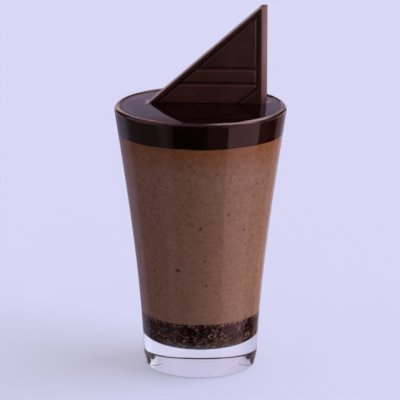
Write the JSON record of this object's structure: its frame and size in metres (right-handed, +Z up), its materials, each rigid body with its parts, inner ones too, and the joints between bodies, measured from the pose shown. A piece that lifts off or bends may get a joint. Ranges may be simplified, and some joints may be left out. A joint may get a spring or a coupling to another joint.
{
  "type": "chocolate cheesecake shooter",
  "caption": "Small flared dessert glass with a heavy clear base, layered with biscuit crumbs, chocolate cheesecake and ganache, topped with an upright grooved chocolate triangle.",
  "frame": {"origin": "middle of the glass's foot, on the surface it stands on", "axes": "+Z up through the middle of the glass; the grooved face of the chocolate triangle looks along -Y and its upright edge is at +X"},
  "size_m": [0.052, 0.052, 0.1111],
  "materials": {
    "clear_glass": "clear, polished pressed glass",
    "biscuit_crumb": "coarse dark chocolate biscuit crumbs bound with butter, damp and uneven",
    "chocolate_cheesecake": "smooth set chocolate cheesecake with fine dark specks, soft satin",
    "ganache": "set dark chocolate ganache, mirror smooth",
    "dark_chocolate": "moulded dark chocolate, satin"
  },
  "bodies": {
    "root": {"glass": "clear_glass", "biscuit_crumb_base": "biscuit_crumb", "cheesecake_filling": "chocolate_cheesecake", "chocolate_ganache": "ganache", "chocolate_triangle": "dark_chocolate"}
  },
  "joints": []
}
